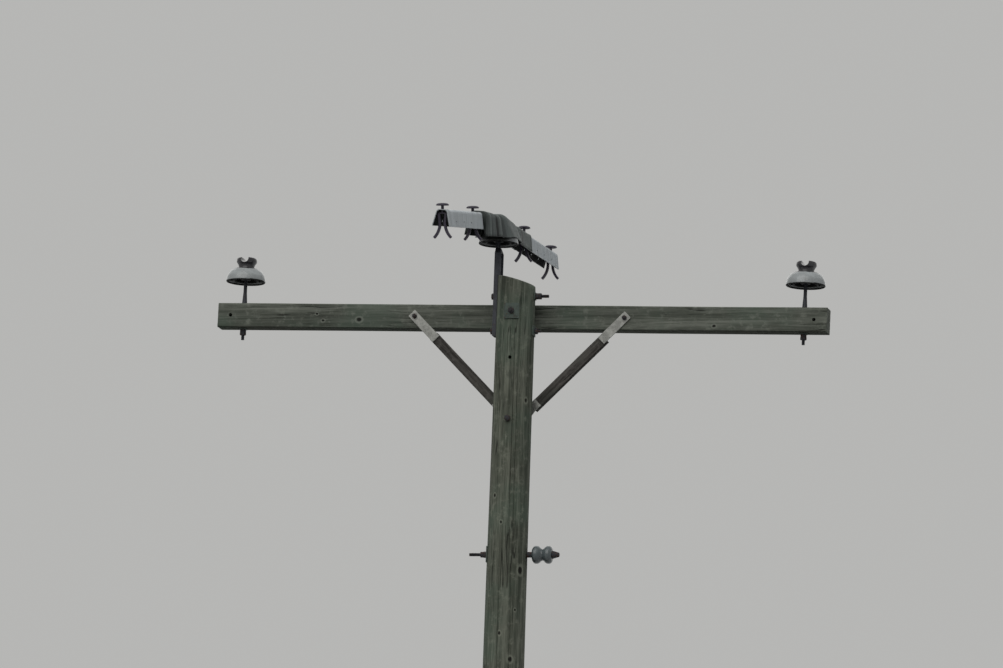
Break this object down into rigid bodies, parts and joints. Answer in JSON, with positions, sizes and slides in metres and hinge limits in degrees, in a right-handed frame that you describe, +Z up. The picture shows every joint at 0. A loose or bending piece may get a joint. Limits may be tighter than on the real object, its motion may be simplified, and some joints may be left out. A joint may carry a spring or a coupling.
{
  "type": "wooden utility pole",
  "caption": "Weathered round wooden distribution pole with a braced crossarm, grey pin insulators, a pole-top bracket under a plastic wildlife cover and a side spool for the neutral.",
  "frame": {"origin": "centre of the pole at ground level", "axes": "X along the crossarm to its lower end, Y along the line to the side that the arm is fixed on, Z up the pole"},
  "size_m": [3.0494, 2.3708, 9.2123],
  "materials": {
    "pole_wood": "rough, weathered",
    "arm_wood": "rough, weathered",
    "brace_wood": "rough, weathered",
    "strap_steel": "galvanised, dull",
    "plate_steel": "galvanised, weathered",
    "bolt_steel": "galvanised, rusted",
    "pin_steel": "galvanised, dark",
    "bracket_steel": "galvanised, dark",
    "bell_glaze": "grey glaze, dark head",
    "spool_glaze": "dark grey glaze",
    "pale_plastic": "weathered, chalky",
    "dark_plastic": "weathered"
  },
  "bodies": {
    "root": {"pole_shaft": "pole_wood", "crossarm": "arm_wood", "arm_bolt": "bolt_steel", "arm_front_washer": "plate_steel", "arm_front_nut": "bolt_steel", "arm_back_washer": "plate_steel", "brace_left": "brace_wood", "brace_right": "brace_wood", "brace_left_straps": "strap_steel", "brace_right_straps": "strap_steel", "brace_arm_bolts": "bolt_steel", "brace_arm_nuts": "bolt_steel", "brace_pole_bolt": "bolt_steel", "brace_pole_washer": "plate_steel", "brace_pole_nut": "bolt_steel", "arm_pin_left": "pin_steel", "arm_pin_right": "pin_steel", "arm_pin_washers": "plate_steel", "arm_pin_nuts": "bolt_steel", "insulator_left": "bell_glaze", "insulator_right": "bell_glaze", "insulator_middle": "bell_glaze", "pole_top_bracket": "bracket_steel", "bracket_bolt_upper": "bolt_steel", "bracket_bolt_lower": "bolt_steel", "bracket_washers": "plate_steel", "bracket_nuts": "bolt_steel", "neutral_bolt": "bolt_steel", "neutral_washer": "plate_steel", "neutral_nuts": "bolt_steel", "neutral_spacer": "bolt_steel", "neutral_spool": "spool_glaze", "cover_hood": "pale_plastic", "cover_arm_near": "pale_plastic", "cover_arm_far": "pale_plastic", "cover_pin_near_outer": "dark_plastic", "cover_pin_near_inner": "dark_plastic", "cover_pin_far_inner": "dark_plastic", "cover_pin_far_outer": "dark_plastic"}
  },
  "joints": []
}
